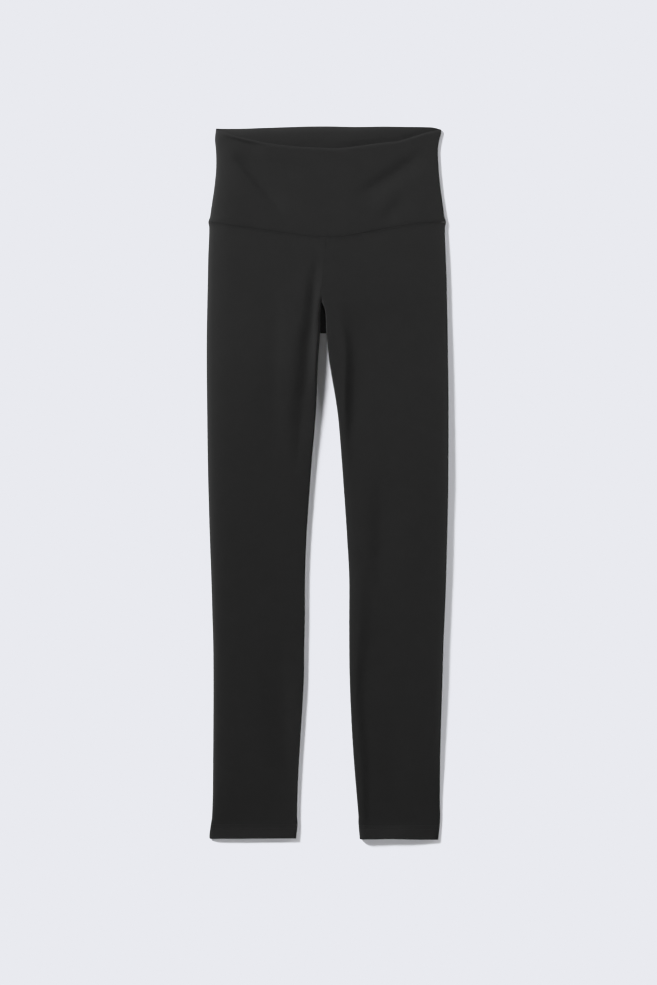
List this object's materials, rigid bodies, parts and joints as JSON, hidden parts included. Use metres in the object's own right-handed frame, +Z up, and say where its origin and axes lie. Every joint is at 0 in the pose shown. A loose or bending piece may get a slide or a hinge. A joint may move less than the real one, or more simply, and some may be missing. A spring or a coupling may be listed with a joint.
{
  "type": "leggings",
  "caption": "High-waisted full-length leggings in plain dark knit, laid flat on their back with the front up, with a wide waistband dipping at the front.",
  "frame": {"origin": "under the middle of the outline, on the surface that the leggings lie on", "axes": "+X across the garment towards the wearer's left leg, +Y from the hems to the waist, +Z up from the surface through the back and then the front"},
  "size_m": [0.3182, 0.94, 0.0067],
  "materials": {
    "leg_cloth": "matt charcoal-black single-jersey knit with a faint sheen",
    "waistband_cloth": "the same knit, doubled",
    "gusset_cloth": "the same knit, in shade"
  },
  "bodies": {
    "root": {"waistband_front": "waistband_cloth", "waistband_back": "waistband_cloth", "leg_right": "leg_cloth", "leg_left": "leg_cloth", "gusset": "gusset_cloth"}
  },
  "joints": []
}
